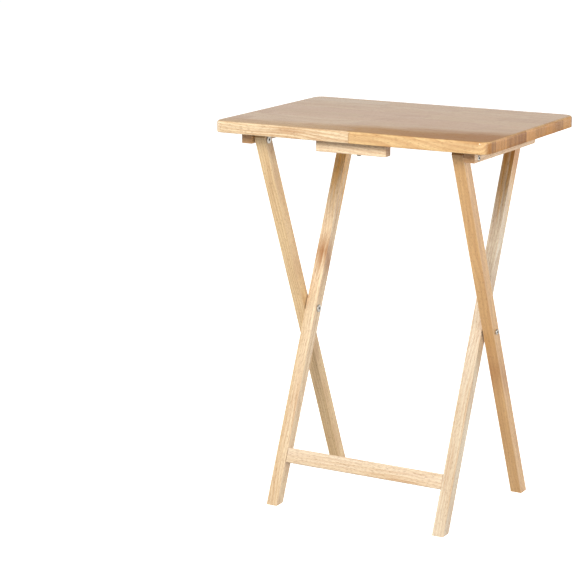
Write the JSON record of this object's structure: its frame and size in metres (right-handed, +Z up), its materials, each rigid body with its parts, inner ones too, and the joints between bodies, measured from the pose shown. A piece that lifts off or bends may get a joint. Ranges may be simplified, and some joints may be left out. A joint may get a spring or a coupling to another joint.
{
  "type": "folding tray table",
  "caption": "Folding tray table in solid wood: rounded tray top on crossed legs that scissor closed under it on steel bolts.",
  "frame": {"origin": "on the floor, under the middle of the tabletop", "axes": "+Z up, +X along the tabletop's long side, -Y towards the front, where the outer legs are bolted"},
  "size_m": [0.483, 0.35, 0.648],
  "materials": {
    "top_wood": "satin clear lacquer over edge-glued, finger-jointed staves",
    "leg_wood": "satin clear lacquer, straight grain along the leg",
    "rail_wood": "satin clear lacquer, straight grain along the rail",
    "cleat_wood": "satin clear lacquer",
    "dowel_wood": "plain turned wood",
    "bolt_steel": "zinc plated, slightly dulled",
    "screw_steel": "dark zinc"
  },
  "bodies": {
    "outer_legs": {"outer_leg_left": "leg_wood", "outer_leg_right": "leg_wood", "cross_bolt_left": "bolt_steel", "cross_bolt_right": "bolt_steel", "cross_washer_left": "screw_steel", "cross_washer_right": "screw_steel", "cross_nut_left": "bolt_steel", "cross_nut_right": "bolt_steel", "hinge_bolt_left": "bolt_steel", "hinge_bolt_right": "bolt_steel", "hinge_washer_left": "screw_steel", "hinge_washer_right": "screw_steel", "hinge_nut_left": "bolt_steel", "hinge_nut_right": "bolt_steel"},
    "inner_legs": {"inner_leg_left": "leg_wood", "inner_leg_right": "leg_wood", "lower_stretcher": "rail_wood", "upper_crossbar": "rail_wood", "lower_stretcher_dowel_left_low": "dowel_wood", "lower_stretcher_dowel_left_high": "dowel_wood", "lower_stretcher_dowel_right_low": "dowel_wood", "lower_stretcher_dowel_right_high": "dowel_wood", "upper_crossbar_dowel_left_low": "dowel_wood", "upper_crossbar_dowel_left_high": "dowel_wood", "upper_crossbar_dowel_right_low": "dowel_wood", "upper_crossbar_dowel_right_high": "dowel_wood"},
    "tray_top": {"tabletop": "top_wood", "cleat_left": "cleat_wood", "cleat_right": "cleat_wood", "front_block": "cleat_wood", "rear_block": "cleat_wood", "cleat_screw_left_front": "screw_steel", "cleat_screw_left_rear": "screw_steel", "cleat_screw_right_front": "screw_steel", "cleat_screw_right_rear": "screw_steel", "front_block_screw": "screw_steel", "rear_block_screw": "screw_steel"}
  },
  "joints": [
    {"name": "leg_fold", "type": "hinge", "parent": "outer_legs", "child": "inner_legs", "pos_m": [0, 0.003, 0.311], "axis": [1, 0, 0], "range_deg": [0, 46.2]},
    {"name": "top_rise", "type": "hinge", "parent": "outer_legs", "child": "tray_top", "pos_m": [0, -0.12709, 0.616], "axis": [1, 0, 0], "range_deg": [0, 25.5]}
  ],
  "couplings": [
    {"joint": "top_rise", "follows": "leg_fold", "ratio": 0.55}
  ]
}
